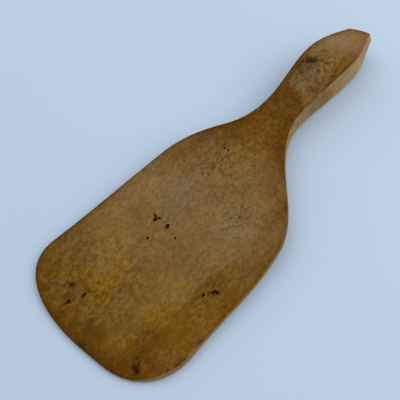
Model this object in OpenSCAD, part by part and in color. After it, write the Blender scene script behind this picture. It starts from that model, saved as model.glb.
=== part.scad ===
// Hand-carved paddle scoop: a broad shallow blade, a narrow neck and a swelled grip, cut from
// one billet of wood. It lies as it rests on a table: +X runs from the nose of the blade to the
// tip of the grip, +Y is its left, +Z is up, and the origin is on the table under its middle.

/* [Lengths along the scoop] */
// From the nose to where the rounded front corners end
corner_l = 35.5; // [24:0.5:50]
// From the front corners to the shoulders
blade_l = 80; // [60:1:110]
// From the shoulders to the narrowest place of the neck
shoulder_l = 78.5; // [60:0.5:110]
// From the neck to the widest place of the grip
swell_l = 49; // [38:1:70]
// From the widest place of the grip to its tip
tail_l = 44; // [35:1:65]

/* [Widths] */
// Width of the small flat worn on the nose
nose_w = 10; // [6:1:20]
// Width across the front corners
front_w = 104.5; // [80:0.5:130]
// Width across the shoulders
shoulder_w = 95; // [75:1:120]
// How far each side is drawn in halfway between shoulder and neck
sweep_in = 3.25; // [0:0.25:5]
// Width of the top of the neck
neck_w = 24; // [18:1:36]
// Width of the top of the grip
grip_w = 32; // [26:1:44]
// Width of the top at the tip, before the slanted end cut
tip_w = 11; // [8:0.5:20]

/* [Side view, heights above the table] */
// Rim at the nose, which is the thickness of the front edge
nose_h = 3; // [2:0.5:6]
// Rim at the shoulders
shoulder_h = 10; // [8:0.5:14]
// Top edge of the neck
neck_h = 16.5; // [14:0.5:20]
// Top edge of the grip
grip_h = 22; // [20:0.5:27]
// Top edge of the tip
tip_h = 17.5; // [15:0.5:24]
// Underside below the shoulders
arch_h = 2; // [0.5:0.5:4]
// Underside of the tip
tip_lift = 9; // [5:0.5:11]

/* [Section] */
// Depth of the dish in the blade
dish_d = 3; // [1:0.5:4]
// Height of the crown on top of the grip
crown_h = 1; // [0:0.25:2]
// Height of the blade's edge at the shoulders
edge_t = 5; // [3:0.5:6]
// Height of the side of the neck
neck_side = 11; // [8:0.5:14]
// Height of the side of the grip
grip_side = 19; // [12:0.5:20]
// Height of the side of the tip
tip_side = 6; // [4:0.5:8]
// How far the sides lean out below the top edge: at the neck
neck_flare = 2; // [0:0.25:4]
// At the widest place of the grip
grip_flare = 0.75; // [0:0.25:4]
// Halfway from there to the tip
tail_flare = 2.75; // [0:0.25:4]
// At the tip
tip_flare = 2.5; // [0:0.25:4]
// Depth planed off the underside where the scoop rests
rest_cut = 0.5; // [0.25:0.25:1]

/* [Unevenness of the hand carving] */
// How far the nose stands to the left
nose_drift = -9; // [-12:0.5:12]
// How far the front corners stand to the left
front_drift = 2.5; // [-6:0.5:6]
// How far the shoulders stand to the left
shoulder_drift = -4.5; // [-6:0.5:6]
// How far the neck stands to the left
neck_drift = 2; // [-3:0.5:3]
// How far the tip stands to the left
tip_drift = -3.5; // [-8:0.5:8]
// How far the left shoulder stands back, and the right one forward
shoulder_lag = 5; // [-10:0.5:10]
// How far the left of the neck stands back, and the right forward
neck_lag = 3.5; // [-6:0.5:6]
// How far the left of the grip stands forward, and the right back
grip_lead = 7; // [-8:0.5:8]
// Angle of the end cut away from square
end_angle = 17; // [0:1:35]

/* [Hidden] */

// Stations along the length
corner_x = corner_l;
shoulder_x = corner_x + blade_l;
neck_x = shoulder_x + shoulder_l;
grip_x = neck_x + swell_l;
tip_x = grip_x + tail_l;

// Slopes of the outline, and what each gains on the left and loses on the right
front_slope = -0.07;
front_skew = -0.1;
shoulder_slope = -0.15;
sweep_slope = -0.76;
tip_slope = -0.4;
tip_skew = -0.2;
// Slopes of the rim, of the tip's underside and of its sides
rim_slope = 0.06;
tip_rise = 0.3;
tip_thinning = -0.15;

// Roundness of the front corners, as a superellipse that is fuller on the right, and of the belly
corner_curve = 2.25;
corner_skew = -0.1;
belly_curve = 2.2;

// Fineness of the carved surface
corner_steps = 12;
body_step = 4;
half_steps = 9;

// Cubic curve between two keys, each [place, value, slope]
function curve(x, a, b) =
    let (run = b[0] - a[0], t = (x - a[0]) / run)
    a[1] * (2 * t ^ 3 - 3 * t ^ 2 + 1) + a[2] * run * (t ^ 3 - 2 * t ^ 2 + t)
    + b[1] * (3 * t ^ 2 - 2 * t ^ 3) + b[2] * run * (t ^ 3 - t ^ 2);

// Value at x on the smooth line through a list of keys
function along(keys, x) =
    let (i = max([0, for (k = [0 : len(keys) - 2]) if (x >= keys[k][0]) k]))
    curve(x, keys[i], keys[i + 1]);

// Half width behind the front corners: side is 1 on the left and -1 on the right
function side_keys(side) =
    let (shoulder = [shoulder_x + side * shoulder_lag, shoulder_w / 2 + side * shoulder_drift],
         neck = [neck_x + side * neck_lag, neck_w / 2 + side * neck_drift],
         halfway = (shoulder + neck) / 2)
    [[corner_x, front_w / 2 + side * front_drift, front_slope + side * front_skew],
     [shoulder[0], shoulder[1], shoulder_slope],
     [halfway[0], halfway[1] - sweep_in, sweep_slope],
     [neck[0], neck[1], 0],
     [grip_x - side * grip_lead, grip_w / 2, 0],
     [tip_x, tip_w / 2 + side * tip_drift, tip_slope + side * tip_skew]];

// Share of the full width that the rounded front has reached on one side
function front_round(x, side) =
    let (flat = nose_w / front_w, t = max(0, 1 - x / corner_x), n = corner_curve + side * corner_skew)
    flat + (1 - flat) * (1 - t ^ n) ^ (1 / n);

// Sideways place of one top edge: before the front corners its line runs straight on and is rounded
function edge_y(x, side) =
    let (keys = side_keys(side), run_on = keys[0][2] * min(0, x - corner_x),
         full = side * (along(keys, max(x, corner_x)) + run_on))
    nose_drift + front_round(x, side) * (full - nose_drift);

// How far the foot of each side stands out beyond its top edge
function flare(x) = along([
    [0, 0, 0], [shoulder_x, 0, 0], [neck_x, neck_flare, 0], [grip_x, grip_flare, 0],
    [(grip_x + tip_x) / 2, tail_flare, 0], [tip_x, tip_flare, 0]], x);

// Side view: top edge, height of the side below it, keel line and depth of the dish
function rim_z(x) = along([
    [0, nose_h, rim_slope], [shoulder_x, shoulder_h, rim_slope], [neck_x, neck_h, rim_slope],
    [grip_x, grip_h, 0], [tip_x, tip_h, 0]], x);
function side_h(x) = along([
    [0, nose_h, 0], [shoulder_x, edge_t, 0], [neck_x, neck_side, rim_slope],
    [grip_x, grip_side, 0], [tip_x, tip_side, tip_thinning]], x);
function keel_z(x) = along([
    [0, -rest_cut, 0], [shoulder_x, arch_h, 0], [neck_x, arch_h / 2, 0],
    [grip_x, -rest_cut, 0], [tip_x, tip_lift, tip_rise]], x);
function dish(x) = along([
    [0, 0, 0], [(corner_x + shoulder_x) / 2, dish_d, 0], [neck_x, 0, 0],
    [grip_x, -crown_h, 0], [tip_x, -crown_h / 2, 0]], x);

// Places across a section, closer together at the edges: 1 is the left edge and -1 the right
across = [for (i = [-half_steps : half_steps]) -sin(90 * i / half_steps)];

// One closed section: over the top from left to right, then back along the underside
function section(x) =
    let (left = edge_y(x, 1), right = edge_y(x, -1),
         mid = (left + right) / 2, half = (left - right) / 2, foot = half + flare(x),
         top = rim_z(x), low = top - side_h(x), keel = min(keel_z(x), low))
    concat(
        [for (t = across) [x, mid + half * t, top - dish(x) * (1 - t ^ 2)]],
        [for (t = across) [x, mid - foot * t, low - (low - keel) * (1 - abs(t) ^ belly_curve)]]);

body_steps = round((tip_x - corner_x) / body_step);
stations = concat(
    [for (i = [0 : corner_steps - 1]) corner_x * (1 - cos(90 * i / corner_steps))],
    [for (i = [0 : body_steps]) corner_x + (tip_x - corner_x) * i / body_steps]);

// The carved surface: sections joined into one closed skin
module carved_billet() {
    ring = 2 * len(across);
    last = len(stations) - 1;
    skin = [for (s = [0 : last - 1], i = [0 : ring - 1])
        let (a = s * ring + i, b = s * ring + (i + 1) % ring)
        each [[a, b, b + ring], [a, b + ring, a + ring]]];
    nose_cap = [for (i = [ring - 1 : -1 : 0]) i];
    tip_cap = [for (i = [0 : ring - 1]) last * ring + i];
    polyhedron([for (x = stations) each section(x)], concat(skin, [nose_cap, tip_cap]), 10);
}

// Space above the table and before the slanted end cut, which leaves a corner on the right
module kept_space() {
    room = tip_x + front_w;
    translate([tip_x, edge_y(tip_x, -1) - flare(tip_x), 0])
        rotate(end_angle)
            translate([-2 * room, -room, 0])
                cube([2 * room, 2 * room, room]);
}

// Sideways middle of the whole outline
middle_y = (max([for (x = stations) edge_y(x, 1)])
    + min([for (x = stations) edge_y(x, -1)])) / 2;

module scoop() {
    color("#7a5c30")
        translate([-tip_x / 2, -middle_y, 0])
            intersection() {
                carved_billet();
                kept_space();
            }
}

scoop();
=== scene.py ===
# Hand-carved paddle scoop: a broad dished blade, a narrow neck and a swelled grip, cut from one
# billet of beech and worn by long use. Places on it are in mm: x runs from the nose of the blade
# to the tip of the grip, y to the left of the line it was carved along, z up from the table.
import math

import bpy
import numpy as np
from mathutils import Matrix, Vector, kdtree, noise


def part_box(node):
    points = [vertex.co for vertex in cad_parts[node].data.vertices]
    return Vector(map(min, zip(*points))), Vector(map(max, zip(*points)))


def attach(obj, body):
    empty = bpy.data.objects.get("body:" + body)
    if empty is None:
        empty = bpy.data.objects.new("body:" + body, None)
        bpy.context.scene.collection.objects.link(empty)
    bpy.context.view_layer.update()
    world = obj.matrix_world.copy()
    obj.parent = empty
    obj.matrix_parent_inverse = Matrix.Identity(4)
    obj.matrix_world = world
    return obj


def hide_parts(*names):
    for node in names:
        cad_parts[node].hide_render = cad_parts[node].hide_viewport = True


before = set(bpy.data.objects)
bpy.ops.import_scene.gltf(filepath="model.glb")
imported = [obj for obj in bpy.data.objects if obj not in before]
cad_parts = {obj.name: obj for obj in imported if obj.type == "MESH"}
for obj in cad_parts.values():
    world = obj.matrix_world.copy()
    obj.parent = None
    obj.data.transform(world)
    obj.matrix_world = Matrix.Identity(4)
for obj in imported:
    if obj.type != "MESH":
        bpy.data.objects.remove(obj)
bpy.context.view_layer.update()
MM = 0.001

# Lengths along the scoop
CORNER_L = 35.5
BLADE_L = 80
SHOULDER_L = 78.5
SWELL_L = 49
TAIL_L = 44
CORNER_X = CORNER_L
SHOULDER_X = CORNER_X + BLADE_L
NECK_X = SHOULDER_X + SHOULDER_L
GRIP_X = NECK_X + SWELL_L
TIP_X = GRIP_X + TAIL_L

# Widths
NOSE_W = 10
FRONT_W = 104.5
SHOULDER_W = 95
SWEEP_IN = 3.25
NECK_W = 24
GRIP_W = 32
TIP_W = 11

# Heights and depths in side view, and how far the sides lean out below the top edge
NOSE_H = 3
SHOULDER_H = 10
NECK_H = 16.5
GRIP_H = 22
TIP_H = 17.5
ARCH_H = 2
TIP_LIFT = 9
DISH_D = 3
CROWN_H = 1
EDGE_T = 5
NECK_SIDE = 11
GRIP_SIDE = 19
TIP_SIDE = 6
NECK_FLARE = 2
GRIP_FLARE = 0.75
TAIL_FLARE = 2.75
TIP_FLARE = 2.5
REST_CUT = 0.5

# Unevenness of the hand carving
NOSE_DRIFT = -9
FRONT_DRIFT = 2.5
SHOULDER_DRIFT = -4.5
NECK_DRIFT = 2
TIP_DRIFT = -3.5
SHOULDER_LAG = 5
NECK_LAG = 3.5
GRIP_LEAD = 7
END_ANGLE = 17
END_SLANT = math.tan(math.radians(END_ANGLE))

# Slopes of the outline, the rim and the tip, and the roundness of corners and belly
FRONT_SLOPE = -0.07
FRONT_SKEW = -0.1
SHOULDER_SLOPE = -0.15
SWEEP_SLOPE = -0.76
TIP_SLOPE = -0.4
TIP_SKEW = -0.2
RIM_SLOPE = 0.06
TIP_RISE = 0.3
TIP_THINNING = -0.15
CORNER_CURVE = 2.25
CORNER_SKEW = -0.1
BELLY_CURVE = 2.2

# Fineness of the carved mesh: cells along and across, rows that bulge with the rounded front,
# steps round an arris and down a side, and places tried along a smooth line
ALONG = 330
ACROSS = 96
FRONT_ROWS = 110
ARRIS_STEPS = 5
WALL_STEPS = 5
FINE = 2000

# Wear of the arrises: radius at the nose, shoulders, neck, grip and tip, above and below
TOP_ARRIS = (1.2, 0.7, 0.9, 0.7, 0.4)
UNDER_ARRIS = (0.8, 0.8, 1.0, 1.0, 0.6)

# The flat shaved along the right of the blade: places of its crease, its ends, the run over which
# it fades at each end, and its slope
CREASE_X = (0, 30, 72, 118)
CREASE_Y = (-22, -26.5, -29, -46)
SHAVED_FROM = 12
SHAVED_TO = 112
SHAVED_FADE = 14
SHAVED_TILT = 0.035

# Count of the drawknife flats left underneath. Then the unevenness of the scraped top: run, width
# and height of its waves, and their layer of noise.
UNDER_FLATS = 9
WAVE_RUN = 34
WAVE_WIDTH = 15
WAVE_H = 0.14
WAVE_LAYER = 1

# Worm holes in the top: x, y, radius of the cutter, its stretch along the grain, turn in degrees
WORM_HOLES = (
    ((81.4, 17.3, 1.25, 1.6, 0), (82.5, 8.9, 1.5, 1.3, 20), (69.6, 13.0, 0.95, 1.5, 0),
     (79.0, 0.3, 0.7, 1.3, 0), (144.5, 13.6, 0.65, 1.4, 20), (144.8, 10.9, 0.75, 1.3, 40),
     (145.4, 7.5, 0.5, 1.4, 0), (66.2, -37.4, 1.3, 1.6, -10), (61.4, -33.8, 1.1, 1.3, 0),
     (21.9, 17.8, 1.15, 2.0, 0), (14.0, 21.8, 1.1, 1.9, 5)),
    ((83.2, 18.8, 0.85, 1.6, 50), (67.0, -39.0, 0.9, 1.5, 30)),
    ((83.4, 15.9, 0.8, 1.6, -60),),
)
# Their cutters: reach below and above the surface in mm, radius at the bottom as a share of that
# at the top, sides, rings, and how ragged they are in mm
HOLE_DEPTH = 1.0
HOLE_TAPER = 0.55
HOLE_SIDES = 14
HOLE_RINGS = 3
HOLE_RAGGED = 0.14


def keyed(keys, x):
    """Value at each x on the smooth line through keys of place, value and slope."""
    places, values, slopes = np.array(keys, float).T
    i = np.clip(np.searchsorted(places, x, side="right") - 1, 0, len(places) - 2)
    run = places[i + 1] - places[i]
    t = (x - places[i]) / run
    start = values[i] * (2 * t**3 - 3 * t**2 + 1) + slopes[i] * run * (t**3 - 2 * t**2 + t)
    end = values[i + 1] * (3 * t**2 - 2 * t**3) + slopes[i + 1] * run * (t**3 - t**2)
    return start + end


def smooth(start, end, x):
    """0 up to start, 1 from end on, with a soft passage between."""
    t = np.clip((x - start) / (end - start), 0, 1)
    return t * t * (3 - 2 * t)


def edge_keys(side):
    """Half width behind the front corners: side is 1 on the left and -1 on the right."""
    shoulder = np.array([SHOULDER_X + side * SHOULDER_LAG, SHOULDER_W / 2 + side * SHOULDER_DRIFT])
    neck = np.array([NECK_X + side * NECK_LAG, NECK_W / 2 + side * NECK_DRIFT])
    halfway = (shoulder + neck) / 2
    return [
        [CORNER_X, FRONT_W / 2 + side * FRONT_DRIFT, FRONT_SLOPE + side * FRONT_SKEW],
        [shoulder[0], shoulder[1], SHOULDER_SLOPE],
        [halfway[0], halfway[1] - SWEEP_IN, SWEEP_SLOPE],
        [neck[0], neck[1], 0],
        [GRIP_X - side * GRIP_LEAD, GRIP_W / 2, 0],
        [TIP_X, TIP_W / 2 + side * TIP_DRIFT, TIP_SLOPE + side * TIP_SKEW],
    ]


def flare(x):
    """How far the foot of each side stands out beyond its top edge."""
    return keyed([[0, 0, 0], [SHOULDER_X, 0, 0], [NECK_X, NECK_FLARE, 0], [GRIP_X, GRIP_FLARE, 0],
                  [(GRIP_X + TIP_X) / 2, TAIL_FLARE, 0], [TIP_X, TIP_FLARE, 0]], x)


def edge_y(x, side, foot=0):
    """Sideways place of one edge, along the top or, where foot is 1, along the foot of the side.
    Before the front corners its line runs on and is rounded."""
    keys = edge_keys(side)
    run_on = keys[0][2] * np.minimum(0, x - CORNER_X)
    full = side * (keyed(keys, np.maximum(x, CORNER_X)) + run_on)
    flat = NOSE_W / FRONT_W
    t = np.clip(1 - x / CORNER_L, 0, 1)
    n = CORNER_CURVE + side * CORNER_SKEW
    rounded = flat + (1 - flat) * (1 - t**n) ** (1 / n)
    return NOSE_DRIFT + rounded * (full - NOSE_DRIFT) + side * foot * flare(x)


def rim_z(x):
    """Top edge in side view."""
    return keyed([[0, NOSE_H, RIM_SLOPE], [SHOULDER_X, SHOULDER_H, RIM_SLOPE],
                  [NECK_X, NECK_H, RIM_SLOPE], [GRIP_X, GRIP_H, 0], [TIP_X, TIP_H, 0]], x)


def side_h(x):
    """Height of the side below the top edge."""
    return keyed([[0, NOSE_H, 0], [SHOULDER_X, EDGE_T, 0], [NECK_X, NECK_SIDE, RIM_SLOPE],
                  [GRIP_X, GRIP_SIDE, 0], [TIP_X, TIP_SIDE, TIP_THINNING]], x)


def keel_z(x):
    """Lowest line of the underside, before it is planed to rest on the table."""
    return keyed([[0, -REST_CUT, 0], [SHOULDER_X, ARCH_H, 0], [NECK_X, ARCH_H / 2, 0],
                  [GRIP_X, -REST_CUT, 0], [TIP_X, TIP_LIFT, TIP_RISE]], x)


def dish(x):
    """Depth of the dish, which turns into the crown of the grip."""
    return keyed([[0, 0, 0], [(CORNER_X + SHOULDER_X) / 2, DISH_D, 0], [NECK_X, 0, 0],
                  [GRIP_X, -CROWN_H, 0], [TIP_X, -CROWN_H / 2, 0]], x)


def outness(x, y, foot=0):
    """How far out a place lies, from -1 at the right edge to 1 at the left."""
    left = edge_y(x, 1, foot)
    right = edge_y(x, -1, foot)
    return np.clip((2 * y - left - right) / (left - right), -1, 1)


def waves(x, y, run, width, layer):
    """Soft random unevenness from -1 to 1, drawn out along the grain."""
    spots = zip(np.ravel(x) / run, np.ravel(y) / width)
    return np.array([noise.noise((a, b, layer)) for a, b in spots]).reshape(np.shape(x))


def shaved(x, y):
    """How far a place lies onto the shaved flat, in mm from its crease."""
    crease = np.interp(x, CREASE_X, CREASE_Y)
    here = smooth(SHAVED_FROM, SHAVED_FROM + SHAVED_FADE, x)
    here = here * (1 - smooth(SHAVED_TO - SHAVED_FADE, SHAVED_TO, x))
    return here * np.maximum(0, crease - y)


def top_z(x, y):
    """The scraped top: dish, shaved flat and a little unevenness."""
    dished = rim_z(x) - dish(x) * (1 - outness(x, y) ** 2)
    uneven = WAVE_H * (waves(x, y, WAVE_RUN, WAVE_WIDTH, WAVE_LAYER) - 1) / 2
    return dished - SHAVED_TILT * shaved(x, y) + uneven


def under_z(x, y):
    """The underside in long knife flats, planed where it rests."""
    low = rim_z(x) - side_h(x)
    keel = np.minimum(keel_z(x), low)
    corners = np.linspace(-1, 1, UNDER_FLATS + 1)
    belly = np.interp(outness(x, y, 1), corners, 1 - np.abs(corners) ** BELLY_CURVE)
    return np.maximum(0, low - (low - keel) * belly)


def resample(line, count):
    """A plan line with evenly spaced points."""
    steps = np.hypot(*np.diff(line, axis=0).T)
    run = np.concatenate([[0], np.cumsum(steps)])
    places = np.linspace(0, run[-1], count + 1)
    return np.stack([np.interp(places, run, line[:, k]) for k in (0, 1)], axis=1)


def front_half(side):
    """Plan line of one edge from the nose to where the rounded front has turned halfway."""
    x = CORNER_L * (1 - np.cos(np.linspace(0, math.pi / 2, FINE)))
    line = np.stack([x, edge_y(x, side)], axis=1)
    steep = np.abs(np.diff(line[:, 1])) > np.diff(x)
    return line[: np.argmin(steep) + 1]


def cut_x(side, foot):
    """Where the slanted end cut, which leaves a corner on the right, meets one edge."""
    x = np.linspace(GRIP_X, TIP_X, FINE)
    past_cut = x + (edge_y(x, side, foot) - edge_y(TIP_X, -1, 1)) * END_SLANT - TIP_X
    return np.interp(0, past_cut, x)


def outline(foot=0):
    """The plan outline, anticlockwise: right edge, end cut, left edge, rounded front."""
    right_front = front_half(-1)
    left_front = front_half(1)
    front = resample(np.concatenate([right_front[::-1], left_front]), ACROSS)
    right_x = np.linspace(right_front[-1, 0], cut_x(-1, foot), ALONG + 1)
    left_x = np.linspace(left_front[-1, 0], cut_x(1, foot), ALONG + 1)
    right = np.stack([right_x, edge_y(right_x, -1, foot)], axis=1)
    left = np.stack([left_x, edge_y(left_x, 1, foot)], axis=1)
    tip = np.linspace(right[-1], left[-1], ACROSS + 1)
    return np.concatenate([right, tip[1:], left[-2::-1], front[-2:0:-1]])


def inward(loop):
    """For each point of the outline, the shift that moves both edges beside it in by 1 mm."""
    edge = np.roll(loop, -1, axis=0) - loop
    edge /= np.linalg.norm(edge, axis=1, keepdims=True)
    after = np.stack([-edge[:, 1], edge[:, 0]], axis=1)
    before = np.roll(after, 1, axis=0)
    return (before + after) / (1 + (before * after).sum(axis=1, keepdims=True))


def fill(loop):
    """Plan grid inside a loop: rows straight across, which bulge towards the rounded front."""
    right = loop[: ALONG + 1]
    left = loop[ALONG + ACROSS : 2 * ALONG + ACROSS + 1][::-1]
    front = np.concatenate([loop[2 * ALONG + ACROSS :], loop[:1]])[::-1]
    share = np.linspace(0, 1, ACROSS + 1)[None, :, None]
    grid = right[:, None] * (1 - share) + left[:, None] * share
    bulge = np.clip(1 - np.arange(ALONG + 1) / FRONT_ROWS, 0, 1) ** 2
    return grid + bulge[:, None, None] * (front - grid[0])


def around(grid):
    """The border of a grid in the order of the outline."""
    return np.concatenate([grid[:, 0], grid[-1, 1:], grid[-2::-1, -1], grid[0, -2:0:-1]])


def arris_radius(radii, x):
    """Radius worn on an arris at each x."""
    return np.interp(x, (0, SHOULDER_X, NECK_X, GRIP_X, TIP_X), radii)


def skin_rings(top_edge, foot_edge):
    """Closed rings from the top over the rounded arrises and the side to the underside."""
    turns = np.linspace(0, math.pi / 2, ARRIS_STEPS + 1)
    above = arris_radius(TOP_ARRIS, top_edge[:, 0])
    below = arris_radius(UNDER_ARRIS, foot_edge[:, 0])
    rings = []
    for turn in turns[1:]:
        plan = top_edge + inward(top_edge) * (above * (1 - math.sin(turn)))[:, None]
        rings.append(np.column_stack([plan, top_z(*plan.T) - above * (1 - math.cos(turn))]))
    side_top = rings[-1]
    side_low = np.column_stack([foot_edge, under_z(*foot_edge.T) + below])
    for share in np.linspace(0, 1, WALL_STEPS + 1)[1:]:
        rings.append(side_top + (side_low - side_top) * share)
    for turn in turns[-2:0:-1]:
        plan = foot_edge + inward(foot_edge) * (below * (1 - math.sin(turn)))[:, None]
        rings.append(np.column_stack([plan, under_z(*plan.T) + below * (1 - math.cos(turn))]))
    return rings


def carve_billet():
    """The whole skin as points in mm and four-cornered faces."""
    top_edge = outline()
    foot_edge = outline(foot=1)
    faces = []
    points = []
    borders = []
    count = 0
    for edge, radii, height in ((top_edge, TOP_ARRIS, top_z), (foot_edge, UNDER_ARRIS, under_z)):
        plan = fill(edge + inward(edge) * arris_radius(radii, edge[:, 0])[:, None])
        number = count + np.arange(plan[..., 0].size).reshape(plan.shape[:2])
        corners = [number[:-1, :-1], number[1:, :-1], number[1:, 1:], number[:-1, 1:]]
        order = corners if height is top_z else corners[::-1]
        faces.append(np.stack(order, axis=-1).reshape(-1, 4))
        points.append(np.dstack([plan, height(plan[..., 0], plan[..., 1])]).reshape(-1, 3))
        borders.append(around(number))
        count += number.size
    rings = skin_rings(top_edge, foot_edge)
    numbers = [count + k * len(top_edge) + np.arange(len(top_edge)) for k in range(len(rings))]
    bands = [borders[0], *numbers, borders[1]]
    for upper, lower in zip(bands, bands[1:]):
        quad = [upper, lower, np.roll(lower, -1), np.roll(upper, -1)]
        faces.append(np.stack(quad, axis=-1))
    return np.concatenate(points + rings), np.concatenate(faces)


# The part's origin: on the table, under the middle of the whole outline
MIDDLE_Y = (edge_y(np.linspace(0, TIP_X, FINE), 1).max()
            + edge_y(np.linspace(0, TIP_X, FINE), -1).min()) / 2
ORIGIN = np.array([TIP_X / 2, MIDDLE_Y, 0])


def new_piece(name, data):
    """An object at the origin that holds a mesh, a lamp or a camera."""
    piece = bpy.data.objects.new(name, data)
    bpy.context.scene.collection.objects.link(piece)
    return piece


def put(tree, kind, feeds=(), **settings):
    """Adds one node: settings are its own choices, feeds are values or links for its sockets."""
    made = tree.nodes.new(kind)
    for name, value in settings.items():
        setattr(made, name, value)
    for socket, value in dict(feeds).items():
        if isinstance(value, bpy.types.NodeSocket):
            tree.links.new(value, made.inputs[socket])
        else:
            made.inputs[socket].default_value = value
    return made


def linear(code):
    """An sRGB hex colour as linear red, green and blue, with full alpha."""
    parts = [int(code[i : i + 2], 16) / 255 for i in (1, 3, 5)]
    return [c / 12.92 if c <= 0.04045 else ((c + 0.055) / 1.055) ** 2.4 for c in parts] + [1]


def new_material(name):
    """An empty material, its node tree and its shader."""
    material = bpy.data.materials.new(name)
    material.use_nodes = True
    tree = material.node_tree
    tree.nodes.clear()
    shader = put(tree, "ShaderNodeBsdfPrincipled")
    put(tree, "ShaderNodeOutputMaterial", {"Surface": shader.outputs["BSDF"]})
    return material, tree, shader


# Sockets of the colour form of the Mix node
MIX_A = 6
MIX_B = 7
MIX_OUT = 2

# Marks of wear, and of painted sheen, shade and highlight, that each point of the scoop carries for
# the wood to read
MARKS = ("bare", "grime", "amber", "bloom_and_sheen", "mould", "flecks", "stain", "pale", "side", "arris",
         "light")

# Patterns of the wood: mm across and along the grain, and detail. Streaks, rays and pores are
# drawn wider than the real ones, which are too fine to show.
GRAIN = {
    "streaks": (0.9, 18, 2.0),
    "rays": (1.0, 2.2, 2.5),
    "mottles": (2.6, 3.6, 3.0),
    "ragged": (2.0, 2.6, 3.0),
    "blotches": (8, 12, 3.0),
    "clouds": (26, 36, 2.0),
    "pores": (0.35, 2.8, 1.0),
}

# How marks and patterns work together, in two rounds. A spread is what it reads, the range it
# reads and the range that this becomes. A pair is added or multiplied.
SPREADS = (
    {"bare_blotches": ("blotches", 0.3, 0.7, -0.25, 0.25),
     "grime_clouds": ("clouds", 0.3, 0.7, -0.12, 0.12),
     "mottle_tone": ("mottles", 0.3, 0.7, -0.5, 0.5),
     "ray_tone": ("rays", 0.3, 0.7, 0.6, -0.6),
     "stain_edge": ("ragged", 0.3, 0.7, -0.28, 0.28),
     "streak_shade": ("streaks", 0.3, 0.7, 0.95, 1.05),
     "blotch_shade": ("blotches", 0.3, 0.7, 1.11, 0.9),
     "fleck_depth": ("flecks", 0.0, 1.0, 0.22, 0.85),
     "light_shade": ("light", 0.0, 1.0, 1.0, 1.25)},
    {"dark_tone": ("tone", 0.3, -1.1, 0.0, 1.0),
     "pale_tone": ("tone", -0.2, 1.2, 0.0, 1.0),
     "pale_depth": ("grimed", 0.0, 0.8, 0.35, 0.14),
     "stain_depth": ("stained", 0.15, 1.0, 0.0, 0.92),
     "roughness": ("grimed", 0.0, 1.0, 0.64, 0.5)},
)
PAIRS = (
    {"bareness": ("ADD", "bare", "bare_blotches"),
     "grimed": ("ADD", "grime", "grime_clouds"),
     "tone": ("ADD", "mottle_tone", "ray_tone"),
     "stained": ("ADD", "stain", "stain_edge"),
     "uneven": ("MULTIPLY", "streak_shade", "blotch_shade")},
    {"dark_rays": ("MULTIPLY", "dark_tone", "fleck_depth"),
     "pale_rays": ("MULTIPLY", "pale_tone", "pale_depth"),
     "shade": ("MULTIPLY", "uneven", "light_shade")},
)

# Colours from the oiled wood up: how much of each layer shows, and its colour
OILED_WOOD = "#73510c"
LAYERS = (
    ("bareness", "#7b6039"),
    # Grey haze, which in the middle of the blade is partly painted sheen
    ("bloom_and_sheen", "#756950"),
    # Grime, which along the edges is partly painted shade on the rounded arris
    ("grimed", "#583400"),
    ("amber", "#7a3c00"),
    ("mould", "#6f6a48"),
    ("pale", "#927957"),
    ("side", "#a98d66"),
    ("pale_rays", "#94794b"),
    ("dark_rays", "#422800"),
    # Pale strip on the right edge: worn wood and painted highlight
    ("arris", "#8f7b57"),
    # Dark stains, with the black line round the top edge, which is dirt and painted shade
    ("stain_depth", "#2c1402"),
)

# Relief of the grain: share of the streaks beside the pores, depth in mm and strength
STREAK_RELIEF = 0.5
PORE_DEPTH = 0.12
RELIEF_STRENGTH = 0.35
# Gloss left on the dry wood
WOOD_GLOSS = 0.03


def hand_worn_beech():
    """Old beech, scraped smooth and never varnished: golden where oil and grime stayed in the
    grain, bare and greyish where feed and hands scoured it, with a grey haze that in the middle
    of the blade is partly painted sheen, mottled by short dark rays, with some mould on the grip
    and dark stains. Painted shade along the edges and a painted highlight on the right edge are
    laid in too."""
    material, tree, shader = new_material("hand_worn_beech")
    spot = put(tree, "ShaderNodeTexCoord").outputs["Object"]
    value = {}
    for name in MARKS:
        value[name] = put(tree, "ShaderNodeAttribute", attribute_name=name).outputs["Fac"]
    for name, (width, run, detail) in GRAIN.items():
        drawn = put(tree, "ShaderNodeMapping", {"Vector": spot, "Scale": (width / run, 1, 1)})
        pattern = put(tree, "ShaderNodeTexNoise",
                      {"Vector": drawn.outputs["Vector"], "Scale": 1 / (width * MM), "Detail": detail})
        value[name] = pattern.outputs["Fac"]
    for spreads, pairs in zip(SPREADS, PAIRS):
        for name, (source, low, high, start, end) in spreads.items():
            spread = put(tree, "ShaderNodeMapRange",
                         {"Value": value[source], "From Min": low, "From Max": high,
                          "To Min": start, "To Max": end}, interpolation_type="SMOOTHSTEP")
            value[name] = spread.outputs["Result"]
        for name, (operation, a, b) in pairs.items():
            pair = put(tree, "ShaderNodeMath", {0: value[a], 1: value[b]}, operation=operation)
            value[name] = pair.outputs["Value"]
    colour = linear(OILED_WOOD)
    for share, code in LAYERS:
        layer = put(tree, "ShaderNodeMix", {"Factor": value[share], MIX_A: colour, MIX_B: linear(code)},
                    data_type="RGBA")
        colour = layer.outputs[MIX_OUT]
    shaded = put(tree, "ShaderNodeVectorMath", {0: colour, "Scale": value["shade"]}, operation="SCALE")
    relief = put(tree, "ShaderNodeMath", {0: value["streaks"], 1: STREAK_RELIEF, 2: value["pores"]},
                 operation="MULTIPLY_ADD")
    bump = put(tree, "ShaderNodeBump",
               {"Height": relief.outputs["Value"], "Strength": RELIEF_STRENGTH,
                "Distance": PORE_DEPTH * MM})
    tree.links.new(shaded.outputs["Vector"], shader.inputs["Base Color"])
    tree.links.new(value["roughness"], shader.inputs["Roughness"])
    tree.links.new(bump.outputs["Normal"], shader.inputs["Normal"])
    shader.inputs["Specular IOR Level"].default_value = WOOD_GLOSS
    return material


# Painted shade deep in the worm holes, with a grain: its size in mm, drawn coarser than the real
# one so that it shows, its dark and its lighter colour, and its roughness
GRIT = 0.4
HOLE_SHADE_DARK = "#2a1405"
HOLE_SHADE_LIGHT = "#4a2a10"
HOLE_ROUGHNESS = 0.95


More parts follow.
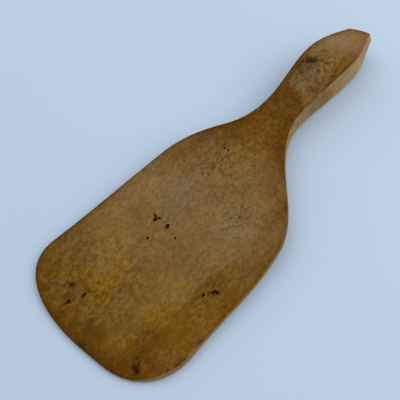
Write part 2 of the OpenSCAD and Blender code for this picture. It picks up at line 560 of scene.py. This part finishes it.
def painted_hole_shade():
    """Painted shade deep in a beetle's tunnel, grainy, dull and rough."""
    material, tree, shader = new_material("painted_hole_shade")
    spot = put(tree, "ShaderNodeTexCoord").outputs["Object"]
    grit = put(tree, "ShaderNodeTexNoise", {"Vector": spot, "Scale": 1 / (GRIT * MM), "Detail": 2.0})
    colour = put(tree, "ShaderNodeMix",
                 {"Factor": grit.outputs["Fac"], MIX_A: linear(HOLE_SHADE_DARK), MIX_B: linear(HOLE_SHADE_LIGHT)},
                 data_type="RGBA").outputs[MIX_OUT]
    tree.links.new(colour, shader.inputs["Base Color"])
    shader.inputs["Roughness"].default_value = HOLE_ROUGHNESS
    shader.inputs["Specular IOR Level"].default_value = 0.0
    return material


def borer_tree():
    """Nodes that set a tapered, ragged cutter on each marked point."""
    tree = bpy.data.node_groups.new("worm_hole_cutters", "GeometryNodeTree")
    kinds = {"Geometry": "NodeSocketGeometry", "Sides": "NodeSocketInt", "Rings": "NodeSocketInt",
             "Depth": "NodeSocketFloat", "Taper": "NodeSocketFloat", "Ragged": "NodeSocketFloat",
             "Seed": "NodeSocketInt", "Material": "NodeSocketMaterial"}
    sockets = {name: tree.interface.new_socket(name, in_out="INPUT", socket_type=kind)
               for name, kind in kinds.items()}
    tree.interface.new_socket("Geometry", in_out="OUTPUT", socket_type="NodeSocketGeometry")
    given = put(tree, "NodeGroupInput").outputs
    # A cutter of radius 1 at its top, which reaches from 1 above its point to 1 below
    cone = put(tree, "GeometryNodeMeshCone",
               {"Vertices": given["Sides"], "Side Segments": given["Rings"], "Radius Top": 1.0,
                "Radius Bottom": given["Taper"], "Depth": 2.0})
    lowered = put(tree, "GeometryNodeTransform",
                  {"Geometry": cone.outputs["Mesh"], "Translation": (0, 0, -1)})
    marked = [put(tree, "GeometryNodeInputNamedAttribute", {"Name": name})
              for name in ("bore", "stretch", "turn")]
    bore, stretch, turn = (mark.outputs["Attribute"] for mark in marked)
    length = put(tree, "ShaderNodeMath", {0: bore, 1: stretch}, operation="MULTIPLY")
    size = put(tree, "ShaderNodeCombineXYZ",
               {"X": length.outputs["Value"], "Y": bore, "Z": given["Depth"]})
    heading = put(tree, "ShaderNodeCombineXYZ", {"Z": turn})
    heading = put(tree, "FunctionNodeEulerToRotation", {"Euler": heading.outputs["Vector"]})
    placed = put(tree, "GeometryNodeInstanceOnPoints",
                 {"Points": given["Geometry"], "Instance": lowered.outputs["Geometry"],
                  "Rotation": heading.outputs["Rotation"], "Scale": size.outputs["Vector"]})
    solid = put(tree, "GeometryNodeRealizeInstances", {"Geometry": placed.outputs["Instances"]})
    jitter = put(tree, "FunctionNodeRandomValue",
                 {0: (-1, -1, 0), 1: (1, 1, 0), "Seed": given["Seed"]}, data_type="FLOAT_VECTOR")
    moved = put(tree, "ShaderNodeVectorMath",
                {0: jitter.outputs[0], "Scale": given["Ragged"]}, operation="SCALE")
    ragged = put(tree, "GeometryNodeSetPosition",
                 {"Geometry": solid.outputs["Geometry"], "Offset": moved.outputs["Vector"]})
    shaded_cutters = put(tree, "GeometryNodeSetMaterial",
                {"Geometry": ragged.outputs["Geometry"], "Material": given["Material"]})
    put(tree, "NodeGroupOutput", {"Geometry": shaded_cutters.outputs["Geometry"]})
    return tree, {name: socket.identifier for name, socket in sockets.items()}


def settled(piece):
    """A plain mesh of a piece with its modifiers applied."""
    shown = piece.evaluated_get(bpy.context.evaluated_depsgraph_get())
    return bpy.data.meshes.new_from_object(shown)


def hole_cutters(holes, tree, sockets, hole_shade):
    """One plain object with a cutter for every hole of a group, whose count is its seed."""
    x, y, radius, stretch, turn = np.array(holes).T
    places = np.column_stack([x, y, top_z(x, y)]) - ORIGIN
    mesh = bpy.data.meshes.new("worm_hole_places")
    mesh.from_pydata((places * MM).tolist(), [], [])
    for name, values in (("bore", radius * MM), ("stretch", stretch), ("turn", np.radians(turn))):
        mesh.attributes.new(name, "FLOAT", "POINT").data.foreach_set("value", values)
    cutters = new_piece("worm_hole_cutters", mesh)
    modifier = cutters.modifiers.new("worm_hole_cutters", "NODES")
    modifier.node_group = tree
    inputs = {"Sides": HOLE_SIDES, "Rings": HOLE_RINGS, "Depth": HOLE_DEPTH * MM,
              "Taper": HOLE_TAPER, "Ragged": HOLE_RAGGED * MM, "Seed": len(holes),
              "Material": hole_shade}
    for name, value in inputs.items():
        modifier[sockets[name]] = value
    cutters.data = settled(cutters)
    cutters.modifiers.clear()
    return cutters


def bore_holes(scoop, hole_shade):
    """Cuts the worm holes, one group after another so that holes may run together."""
    tree, sockets = borer_tree()
    for holes in WORM_HOLES:
        cutters = hole_cutters(holes, tree, sockets, hole_shade)
        cut = scoop.modifiers.new("worm_holes", "BOOLEAN")
        cut.object = cutters
        cut.solver = "MANIFOLD"
        cut.material_mode = "TRANSFER"
        scoop.data = settled(scoop)
        scoop.modifiers.clear()
        bpy.data.objects.remove(cutters)


# Patches of wear and dirt on the top, and of grey haze on the sides too; the grey haze in the middle
# of the blade is partly painted sheen: x, y, half length, half width, turn in degrees, strength
PATCHES = {
    "bloom_and_sheen": ((104, 17, 18, 10, 0, 0.55), (106, -22, 12, 11, -10, 0.4), (213, 3, 4, 5, 0, 0.4),
              (226, 3, 7, 6, 0, 0.7), (216, -5, 5, 4, 0, 0.6), (243, 12, 7, 4, 0, 0.5),
              (210, -8.5, 5, 3, 0, 0.4), (210, -13, 5, 3, 0, 0.8), (210, 16, 6, 3, 0, 0.8)),
    "mould": ((212.7, 2.6, 4, 4, 0, 0.7), (219, 9, 7, 5, 0, 0.4), (227, 2, 7, 5, 0, 0.3),
              (223, -10, 6, 3, 0, 0.3)),
    "grime": ((20, 30, 22, 22, 0, 0.15), (16, -24, 10, 7, 0, 0.4), (221, 9, 7, 4, 0, 0.35),
              (230, 9, 9, 4, -30, 0.4), (228, -2, 18, 16, 0, 0.3), (212, -7, 6, 4, 0, 0.4),
              (25, -27, 8, 6, 0, 0.4), (128, 27, 16, 9, 0, 0.25), (13, -37, 6, 5, 0, 0.3),
              (20, 21, 6, 5, 0, 0.35), (14, -3, 5, 7, 0, 0.35), (24, 45, 7, 6, 0, 0.3),
              (39, 51, 8, 4, 0, 0.35), (75, -8, 7, 5, 0, 0.2), (113, -39, 7, 4, 0, 0.3),
              (142, -22, 8, 5, 0, 0.25), (20, 51, 6, 4, 0, 0.25), (131, -39, 14, 5, 0, 0.5),
              (150, 16, 8, 6, 0, 0.3), (214, -9, 6, 3, 0, 0.4), (122, 37, 12, 4, -15, 0.35),
              (141, 30, 8, 4, -30, 0.3), (17, 42, 6, 5, 0, 0.35), (218, 12, 6, 2.5, 10, 0.35),
              (157, 12, 6, 5, 0, 0.25), (136, -27, 8, 5, 0, 0.3)),
    "light": ((43, 18, 12, 9, 0, 0.5), (70, 38, 16, 7, 0, 0.5), (92, 34, 12, 6, 0, 0.45),
              (56, 32, 12, 9, 0, 0.3), (55, -14, 11, 10, 0, 0.5), (105, -27, 6, 7, 0, 0.5),
              (97, 15, 8, 6, 0, 0.3), (172, -2, 9, 6, 0, 0.9), (48, -45, 14, 5, 0, 0.9),
              (36, -15, 10, 6, 0, 0.45), (124, 2, 8, 5, 0, 0.3), (54, 22, 9, 6, 0, 0.45),
              (34, 26, 6, 5, 0, 0.35), (52, -21, 9, 4, 0, 0.5), (224, -7, 6, 4, 0, 0.35),
              (7, -16, 5, 6, 0, 0.4), (101, 31, 7, 5, 0, 0.4), (106, -12, 6, 5, 0, 0.3),
              (101, -29, 5, 5, 0, 0.45), (60, 15, 5, 5, 0, 0.35), (57, 1, 6, 4, 0, 0.25),
              (219.5, -3.5, 5, 4, 0, 0.45), (169, -5, 7, 5, 0, 0.5)),
    "oiled": ((223, -11, 6, 4, 0, 0.5), (247, -12, 11, 4, 0, 0.9), (281, -6, 8, 8, 0, 0.2)),
    "amber": ((25, -28, 6, 4, 0, 0.15), (11.5, -36, 5, 4, 0, 0.4), (268, -13, 5, 2, 0, 0.3)),
    "pale": ((262, 2, 14, 9, 0, 0.5),),
    "flecks": ((22, 24, 30, 26, 0, 0.5), (132, 10, 22, 18, 0, 0.5), (232, 0, 16, 14, 0, 1.0),
               (64, -36, 10, 7, 0, 0.4), (185, 0, 24, 12, 0, 0.8), (110, -22, 12, 12, 0, 0.45)),
}
# Small marks, in the same terms, which stay exactly where they are set
STAINS = ((232.3, 8.2, 3.2, 2.4, -51, 0.7), (235.2, 4.6, 1.8, 1.6, 0, 0.6),
          (231.5, 10.5, 6, 2.4, -51, 0.35), (235, 7.5, 4, 2, -51, 0.3), (8.7, -31.9, 2, 1.8, 0, 1.1),
          (10.1, -29.6, 1.6, 1.3, 0, 0.9), (12.4, -29.9, 1.4, 1, 40, 0.75),
          (13.7, -27.6, 1.4, 1, 40, 0.75), (22.6, 27.2, 3.4, 2.2, 10, 0.68),
          (20.5, 29, 3.5, 1.4, -40, 0.5), (13, 4, 2.6, 2, 0, 0.72), (62.8, -47.9, 1.4, 1, 0, 0.85),
          (1.8, -0.2, 1.6, 2.6, 0, 0.6), (21.4, -23.6, 4, 3, 0, 0.4), (29.5, -24.7, 4.5, 2.5, 0, 0.4),
          (112, -20.6, 3, 2.5, 0, 0.5), (60, -33.5, 5, 2.5, -20, 0.4), (66, -37, 4, 2, -30, 0.35),
          (75, 15, 8, 4, 0, 0.2), (223, 4, 11, 9, -20, 0.3), (72.2, 12, 0.7, 0.6, 0, 0.9),
          (70.2, 10.6, 0.7, 0.6, 0, 0.9), (82.6, 17.4, 1.5, 1.3, 0, 0.75))
# Dirt round each worm hole: its reach in radii of the cutter, and its strength
RING_REACH = 1.8
RING_DIRT = 0.5

# How ragged the borders of patches are: shift in mm, run and width of its waves, layer of noise
SHIFTS_ALONG = ((4, 16, 9, 5), (1.5, 5, 4, 13))
SHIFTS_ACROSS = ((3, 14, 8, 9),)
SHIFTS_SIDE = ((6, 14, 7, 31),)
# Slant of the borders on the sides, and the height in mm at which they keep their place
SIDE_SLANT = 0.5
SIDE_LEVEL = 10

# Stretches in mm from the nose over which a kind of wear begins or ends
FRONT_END = (0, 20)
FLAT_END = (70, 100)
NECK_START = (148, 172)
NECK_END = (203, 209)
GRIP_START = (215, 225)
TAIL_START = (240, 268)
EDGE_START = (2, 10)
STRIP_END = (150, 172)
DIRT_START = (8, 20)
DIRT_END = (95, 125)
RUDDY_START = (12, 20)
RUDDY_END = (62, 75)
BORDER_START = (75, 95)
BORDER_END = (120, 150)
FAINT_RIM_START = (200, 235)
TIP_START = (250, 264)

# At places in mm from the nose: how bare the top is with wear, how much paler the side faces are
# made, and how far in from the right edge its pale strip reaches in mm
BARE_ALONG = ((0, 0), (20, 0.1), (45, 0.28), (62, 0.65), (100, 1), (125, 0.9), (140, 0.7),
              (165, 0.2), (204, 0.1), (209, 0.75), (288, 0.8))
SIDE_PALENESS_ALONG = ((118, 0.3), (150, 0.6), (192, 0.6), (199, 0.65), (205, 0.25), (209, 0.12),
                 (213, 0.12), (217, 0.22), (222, 0.3), (228, 0.7), (240, 0.8), (255, 0.88),
                 (265, 0.78), (288, 0.7))
STRIP_ALONG = ((8, 0.8), (16, 1.8), (30, 1.7), (45, 0.9))

# How far in from the edge dirt fades, in mm: grime with painted shade on the blade and on the grip,
# the black line of dirt and painted shade, ruddy dirt and the broad border on the right
RIM_GRIME_AND_SHADE = 1.6
RIM_GRIME_AND_SHADE_GRIP = 2.8
RIM_BLACK = 0.9
RIM_RUDDY = 2.5
RIM_BORDER = 7

# The pale strip on the right edge, worn wood and painted highlight: share of its reach that is
# wholly pale, its tone, how far the tone swings, size of the swings in mm and their layer of noise
STRIP_CORE = 0.4
STRIP_TONE = 0.5
STRIP_SWING = 0.35
STRIP_SPOT = 7
STRIP_LAYER = 21

# The broken dark line of dirt and painted shade beside that strip, in mm: how far past it, half
# width and size of the breaks. Then the range of noise over which the line breaks off, and its layer.
DIRT_IN = 0.3
DIRT_HALF_W = 0.6
DIRT_SPOT = 5
DIRT_BREAK = (-0.3, 0.3)
DIRT_LAYER = 27

# Grime of the neck: mm by which it starts earlier along the edges, and the slant of its end
NECK_BOW = 14
NECK_SLANT = 0.6
# Stretch in mm past its crease over which the shaved flat darkens
FLAT_EDGE = (0, 1.2)

# Strength of each kind of dirt, from 0 to 1
FRONT_GRIME = 0.85
NECK_GRIME = 0.72
BORDER_GRIME = 0.65
FLAT_GRIME = 0.4
UNDER_GRIME = 0.35
# The black line round the top edge is dirt and painted shade on the arris
BLACK = 0.7
BLACK_GRIP = 0.35
RUDDY = 0.45
# The broken dark line by the pale strip is dirt and painted shade
EDGE_DIRT_AND_SHADE = 0.8
FLECKS = 0.22
# What is left of the shaved flat's tone at the back, how much oil it keeps, and how much grime is
# rubbed off the right edge and how many flecks off the tail
FLAT_BACK = 0.25
FLAT_OILED = 0.85
EDGE_RUBBED = 0.7
TAIL_RUBBED = 0.7

# How far upward a face points, from -1 to 1, as it comes to count as top, as part of the pale
# strip and as a place for stains, and how far out a place lies as it comes to count as right
TOP_LEVEL = (0.3, 0.8)
STRIP_LEVEL = (-0.6, -0.1)
STAIN_LEVEL = (0.0, 0.5)
RIGHT_HALF = (0.2, 0.8)


def patch(x, y, spec):
    """Soft-edged oval from 0 to its strength."""
    middle_x, middle_y, half_l, half_w, turn, strength = spec
    cosine = math.cos(math.radians(turn))
    sine = math.sin(math.radians(turn))
    along = ((x - middle_x) * cosine + (y - middle_y) * sine) / half_l
    across = ((y - middle_y) * cosine - (x - middle_x) * sine) / half_w
    return strength * np.exp(-(along * along + across * across))


def ragged_shift(along, across, shifts):
    """How far a place is shifted, so that patches get ragged borders."""
    return sum(reach * waves(along, across, run, width, layer) for reach, run, width, layer in shifts)


def dark_spots(x, y):
    """Stains, and a ring of dirt round each worm hole."""
    rings = [(hole_x, hole_y, RING_REACH * bore * stretch, RING_REACH * bore, turn, RING_DIRT)
             for holes in WORM_HOLES for hole_x, hole_y, bore, stretch, turn in holes]
    stains = sum(patch(x, y, spec) for spec in STAINS)
    return np.maximum(stains, np.max([patch(x, y, spec) for spec in rings], axis=0))


def rim_distance(x, y):
    """Distance of each place from the top edge in plan, in mm."""
    edge = outline()
    nearest = kdtree.KDTree(len(edge))
    for i, place in enumerate(edge):
        nearest.insert((*place, 0), i)
    nearest.balance()
    return np.array([nearest.find((a, b, 0))[2] for a, b in zip(x, y)])


def edge_wear(x, y, up):
    """Marks that follow the edge: grime and a black line, dirt and painted shade, all round. On the
    right the grime is rubbed off, and a pale strip of worn wood and painted highlight runs with a
    broken dark line of dirt and painted shade beside it.
    """
    rim = rim_distance(x, y)
    right = smooth(*RIGHT_HALF, -outness(x, y))
    gripped = smooth(*GRIP_START, x)
    rubbed_blade = right * smooth(*EDGE_START, x) * (1 - gripped)
    rubbed = np.maximum(rubbed_blade, right * smooth(*TIP_START, x))
    grime_and_shade_reach = RIM_GRIME_AND_SHADE + (RIM_GRIME_AND_SHADE_GRIP - RIM_GRIME_AND_SHADE) * gripped
    blackness = BLACK + (BLACK_GRIP - BLACK) * smooth(*FAINT_RIM_START, x)
    reach = np.interp(x, *zip(*STRIP_ALONG))
    strip = (1 - smooth(STRIP_CORE * reach, reach, rim)) * smooth(*STRIP_LEVEL, up)
    strip_tone = STRIP_TONE + STRIP_SWING * waves(x, y, STRIP_SPOT, STRIP_SPOT, STRIP_LAYER)
    broken = smooth(*DIRT_BREAK, waves(x, y, DIRT_SPOT, DIRT_SPOT, DIRT_LAYER))
    # A broken dark line of dirt and painted shade beside the pale strip
    dark_line = broken * np.exp(-(((rim - reach - DIRT_IN) / DIRT_HALF_W) ** 2))
    dirt = EDGE_DIRT_AND_SHADE * dark_line * right * smooth(*DIRT_START, x) * (1 - smooth(*DIRT_END, x))
    ruddy = right * smooth(*RUDDY_START, x) * (1 - smooth(*RUDDY_END, x))
    border = right * smooth(*BORDER_START, x) * (1 - smooth(*BORDER_END, x))
    return {
        # Grime along the edge, with painted shade on the rounded arris
        "grime": np.exp(-rim / grime_and_shade_reach) * (1 - EDGE_RUBBED * rubbed),
        "border": BORDER_GRIME * np.exp(-rim / RIM_BORDER) * border,
        # The black line round the top edge: dirt and painted shade on the arris
        "stain": blackness * np.exp(-rim / RIM_BLACK) * (1 - rubbed) + dirt,
        "amber": RUDDY * np.exp(-rim / RIM_RUDDY) * ruddy,
        # The pale strip low on the right side wall: worn wood and painted highlight
        "arris": strip_tone * strip * rubbed_blade * (1 - smooth(*STRIP_END, x)),
    }


def wear_marks(x, y, z, up):
    """How bare, grimed, faded and stained each place is, painted sheen, shade and highlight included.
    """
    top = smooth(*TOP_LEVEL, up)
    side = 1 - smooth(*TOP_LEVEL, np.abs(up))
    patch_x = x + ragged_shift(x, y, SHIFTS_ALONG)
    patch_y = y + ragged_shift(x, y, SHIFTS_ACROSS)
    side_x = x + ragged_shift(x, z, SHIFTS_SIDE) + SIDE_SLANT * (z - SIDE_LEVEL)
    fields = {kind: sum(patch(patch_x, patch_y, spec) for spec in specs)
              for kind, specs in PATCHES.items()}
    side_bloom = sum(patch(side_x, y, spec) for spec in PATCHES["bloom_and_sheen"])
    edge = edge_wear(x, y, up)
    flat_fade = FLAT_BACK + (1 - FLAT_BACK) * (1 - smooth(*FLAT_END, patch_x))
    flat = smooth(*FLAT_EDGE, shaved(x, y)) * flat_fade
    neck = smooth(*NECK_START, patch_x + NECK_BOW * outness(x, y) ** 2)
    neck = neck * (1 - smooth(*NECK_END, patch_x - NECK_SLANT * patch_y))
    front = 1 - smooth(*FRONT_END, patch_x)
    tail = smooth(*TAIL_START, patch_x)
    bare = np.interp(patch_x, *zip(*BARE_ALONG)) * (1 - FLAT_OILED * flat)
    grime = fields["grime"] + edge["border"]
    grime = grime + NECK_GRIME * neck + FRONT_GRIME * front + FLAT_GRIME * flat
    return {
        "bare": bare * (1 - np.minimum(1, fields["oiled"])) * top,
        "grime": (grime * (1 - tail) + edge["grime"]) * top + UNDER_GRIME * (1 - top) * (1 - side),
        "amber": (fields["amber"] + edge["amber"]) * top,
        "bloom_and_sheen": fields["bloom_and_sheen"] * top + side_bloom * side,
        "mould": fields["mould"] * top,
        "flecks": (FLECKS + fields["flecks"]) * (1 - TAIL_RUBBED * tail),
        "stain": (dark_spots(x, y) + edge["stain"]) * smooth(*STAIN_LEVEL, up),
        "pale": fields["pale"] * top,
        "side": side * np.interp(side_x, *zip(*SIDE_PALENESS_ALONG)),
        "arris": edge["arris"],
        "light": fields["light"] * top,
    }


def wear(scoop):
    """Writes the marks of wear, with the painted sheen, shade and highlight, on every point of the
    scoop.
    """
    mesh = scoop.data
    spots = np.empty(len(mesh.vertices) * 3)
    facing = np.empty(len(mesh.vertices) * 3)
    mesh.vertices.foreach_get("co", spots)
    mesh.vertices.foreach_get("normal", facing)
    places = spots.reshape(-1, 3) / MM + ORIGIN
    marks = wear_marks(*places.T, facing.reshape(-1, 3)[:, 2])
    for name in MARKS:
        attribute = mesh.attributes.new(name, "FLOAT", "POINT")
        attribute.data.foreach_set("value", np.clip(marks[name], 0, 1))


# Angle in degrees past which an edge stays sharp
SHARP_ANGLE = 40


def make_scoop():
    """The carved scoop with its worm holes, wear and wood, kept inside the part's own box."""
    points, faces = carve_billet()
    low, high = (np.array(corner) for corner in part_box("scoop"))
    mesh = bpy.data.meshes.new("carved_scoop")
    mesh.from_pydata(np.clip((points - ORIGIN) * MM, low, high).tolist(), [], faces.tolist())
    scoop = new_piece("carved_scoop", mesh)
    mesh.materials.append(hand_worn_beech())
    bore_holes(scoop, painted_hole_shade())
    scoop.data.shade_smooth()
    scoop.data.set_sharp_from_angle(angle=math.radians(SHARP_ANGLE))
    wear(scoop)
    return scoop


# The board under the scoop: its size in metres, tint, roughness and gloss
FLOOR_SIZE = 4.0
FLOOR_TINT = "#bacde0"
FLOOR_ROUGHNESS = 0.9
FLOOR_GLOSS = 0.1


def make_floor():
    """A plain pale board under the scoop."""
    half = FLOOR_SIZE / 2
    mesh = bpy.data.meshes.new("floor")
    mesh.from_pydata([(-half, -half, 0), (half, -half, 0), (half, half, 0), (-half, half, 0)],
                     [], [(0, 1, 2, 3)])
    material, tree, shader = new_material("pale_board")
    shader.inputs["Base Color"].default_value = linear(FLOOR_TINT)
    shader.inputs["Roughness"].default_value = FLOOR_ROUGHNESS
    shader.inputs["Specular IOR Level"].default_value = FLOOR_GLOSS
    mesh.materials.append(material)
    return new_piece("floor", mesh)


# Lamps: place in metres, side of the square in metres, watts and tint
LAMPS = {
    "window": ((0.45, -0.6, 0.7), 0.9, 5.8, "#fff0dc"),
    "reflector": ((0.1, 0.8, 0.75), 1.2, 4.2, "#fff4e6"),
}
# Light from all round
SKY_TINT = "#e6f0ff"
SKY_STRENGTH = 0.68


def make_lamp(name, place, size, watts, tint):
    """A soft square lamp that shines from a place, in metres, towards the scoop."""
    lamp = bpy.data.lights.new(name, "AREA")
    lamp.size = size
    lamp.energy = watts
    lamp.color = linear(tint)[:3]
    holder = new_piece(name, lamp)
    holder.location = place
    holder.rotation_euler = Vector(place).to_track_quat("Z", "Y").to_euler()


def light_studio():
    """Soft warm light from both sides, a little stronger from the right, and bluish light all
    round."""
    world = bpy.data.worlds.new("studio")
    world.use_nodes = True
    back = world.node_tree.nodes["Background"].inputs
    back["Color"].default_value = linear(SKY_TINT)
    back["Strength"].default_value = SKY_STRENGTH
    bpy.context.scene.world = world
    for name, settings in LAMPS.items():
        make_lamp(name, *settings)


# The camera as the photograph has it: where it looks, from the part's origin, how far off it
# stands and how near it starts to see, all in mm, and its angles in degrees
VIEW_TARGET = (-37.7, 2.1, 10)
VIEW_DISTANCE = 324
VIEW_NEAR = 10
VIEW_AZIMUTH = -52.1
VIEW_ELEVATION = 57.8
VIEW_ANGLE = 40


def make_camera():
    """The photograph's view, with its angle of view taken across the picture's width."""
    turn = math.radians(VIEW_AZIMUTH)
    rise = math.radians(VIEW_ELEVATION)
    back = Vector((math.sin(turn) * math.cos(rise), -math.cos(turn) * math.cos(rise), math.sin(rise)))
    lens = bpy.data.cameras.new("camera")
    lens.sensor_fit = "HORIZONTAL"
    lens.angle = math.radians(VIEW_ANGLE)
    lens.clip_start = VIEW_NEAR * MM
    camera = new_piece("camera", lens)
    camera.location = (Vector(VIEW_TARGET) + back * VIEW_DISTANCE) * MM
    camera.rotation_euler = back.to_track_quat("Z", "Y").to_euler()
    bpy.context.scene.camera = camera


make_camera()
light_studio()
make_floor()
scoop = make_scoop()
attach(scoop, "root")
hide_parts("scoop")
bpy.context.scene.view_settings.view_transform = "Standard"
